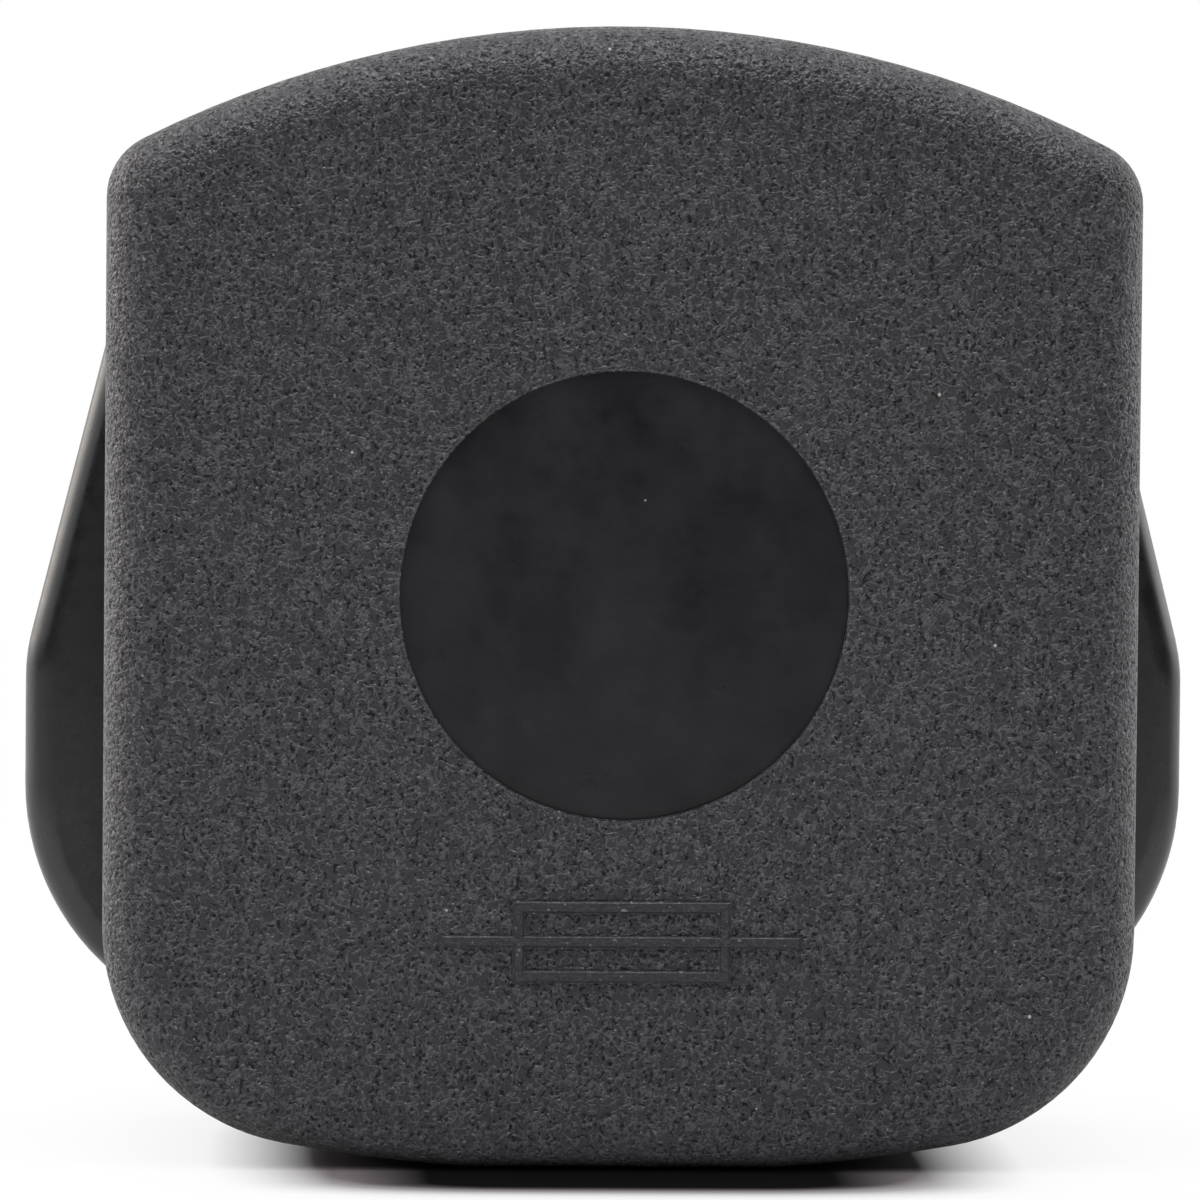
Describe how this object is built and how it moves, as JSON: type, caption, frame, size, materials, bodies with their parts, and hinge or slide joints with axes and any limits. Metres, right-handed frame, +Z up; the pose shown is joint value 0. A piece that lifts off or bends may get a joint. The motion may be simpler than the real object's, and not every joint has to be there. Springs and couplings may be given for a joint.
{
  "type": "rubber electric plug",
  "caption": "Rewirable three-pin mains plug with a fuse inside: a textured rubber cover with an arched top screwed over a winged base, sleeved line pins and a cord entry in the foot.",
  "frame": {"origin": "on the pin face, midway between the live and neutral pins", "axes": "+Z up toward the earth pin, +Y the way the pins point, the cover on the -Y side"},
  "size_m": [0.05, 0.0454, 0.047],
  "materials": {
    "cover": "fine spark-eroded grain, matte",
    "base": "smooth moulded, semi-gloss",
    "brass": "drawn and lightly polished",
    "sleeve": "smooth moulded",
    "screw": "bright zinc plated",
    "terminal_screw": "turned",
    "plated": "nickel plated",
    "spring": "rolled phosphor bronze",
    "ceramic": "unglazed",
    "filler": "packed sand",
    "grip": "pressed fibre",
    "washer": "pressed fibre"
  },
  "bodies": {
    "root": {"base": "base", "clip_rivets": "plated", "cord_grip": "grip", "cord_grip_screws": "screw", "cover": "cover", "cover_insert": "brass", "cover_screw": "screw", "earth_pin": "brass", "fuse_barrel": "ceramic", "fuse_cap_lower": "plated", "fuse_cap_upper": "plated", "fuse_clip_lower": "spring", "fuse_clip_upper": "spring", "fuse_element": "plated", "fuse_filler": "filler", "live_pin": "brass", "live_sleeve": "sleeve", "live_terminal": "brass", "neutral_pin": "brass", "neutral_sleeve": "sleeve", "screw_retainer": "washer", "terminal_screws": "terminal_screw"}
  },
  "joints": []
}
